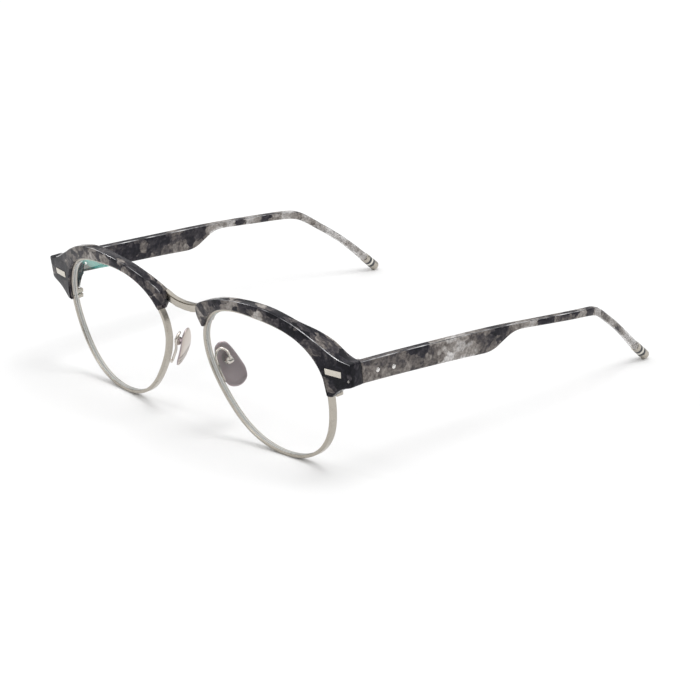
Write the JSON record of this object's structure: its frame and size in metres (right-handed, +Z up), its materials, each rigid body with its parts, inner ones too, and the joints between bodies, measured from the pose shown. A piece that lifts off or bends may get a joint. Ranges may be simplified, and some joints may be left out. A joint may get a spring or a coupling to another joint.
{
  "type": "half rim eyeglasses",
  "caption": "Browline eyeglasses: marbled acetate brows over slim metal rims, clear lenses, adjustable nose pads and folding acetate temples with a wire core.",
  "frame": {"origin": "middle of the footprint, on the surface that the glasses stand on with the temples open", "axes": "+X to the wearer's left, +Y from the front back along the temples, +Z up; the lenses face -Y"},
  "size_m": [0.1452, 0.1619, 0.0528],
  "materials": {
    "acetate_front": "polished dark marbled acetate",
    "acetate_temple": "polished smoky marbled acetate, partly translucent",
    "satin_metal": "satin pale champagne silver",
    "inlay_metal": "brushed",
    "screw_steel": "bright",
    "pad_titanium": "satin",
    "demo_lens": "clear, coated",
    "ring_enamel": "gloss enamel",
    "cap_enamel": "gloss enamel"
  },
  "bodies": {
    "front": {"bridge": "satin_metal", "brow_left": "acetate_front", "eyewire_left": "satin_metal", "lens_left": "demo_lens", "plaque_left": "inlay_metal", "brow_screw_outer_left": "screw_steel", "brow_screw_inner_left": "screw_steel", "lock_screw_left": "screw_steel", "end_rivet_left": "screw_steel", "hinge_front_leaf_left": "satin_metal", "hinge_screw_left": "screw_steel", "pad_arm_left": "satin_metal", "pad_screw_left": "screw_steel", "brow_right": "acetate_front", "eyewire_right": "satin_metal", "lens_right": "demo_lens", "plaque_right": "inlay_metal", "brow_screw_outer_right": "screw_steel", "brow_screw_inner_right": "screw_steel", "lock_screw_right": "screw_steel", "end_rivet_right": "screw_steel", "hinge_front_leaf_right": "satin_metal", "hinge_screw_right": "screw_steel", "pad_arm_right": "satin_metal", "pad_screw_right": "screw_steel"},
    "left_temple": {"temple_left": "acetate_temple", "core_wire_left": "satin_metal", "hinge_temple_leaf_left": "satin_metal", "temple_rivet_front_left": "screw_steel", "temple_rivet_rear_left": "screw_steel", "tip_ring_left": "ring_enamel", "tip_cap_left": "cap_enamel"},
    "right_temple": {"temple_right": "acetate_temple", "core_wire_right": "satin_metal", "hinge_temple_leaf_right": "satin_metal", "temple_rivet_front_right": "screw_steel", "temple_rivet_rear_right": "screw_steel", "tip_ring_right": "ring_enamel", "tip_cap_right": "cap_enamel"},
    "left_pad": {"nose_pad_left": "pad_titanium"},
    "right_pad": {"nose_pad_right": "pad_titanium"}
  },
  "joints": [
    {"name": "left_temple_fold", "type": "hinge", "parent": "front", "child": "left_temple", "pos_m": [0.067, -0.0653, 0.0365], "axis": [0, 0, 1], "range_deg": [0, 90]},
    {"name": "right_temple_fold", "type": "hinge", "parent": "front", "child": "right_temple", "pos_m": [-0.067, -0.0653, 0.0365], "axis": [0, 0, -1], "range_deg": [0, 80]},
    {"name": "left_pad_rock", "type": "hinge", "parent": "front", "child": "left_pad", "pos_m": [0.01184, -0.0674, 0.02463], "axis": [0.3099, 0.8783, 0.364], "range_deg": [-10, 10]},
    {"name": "right_pad_rock", "type": "hinge", "parent": "front", "child": "right_pad", "pos_m": [-0.01184, -0.0674, 0.02463], "axis": [0.3099, -0.8783, -0.364], "range_deg": [-10, 10]}
  ]
}
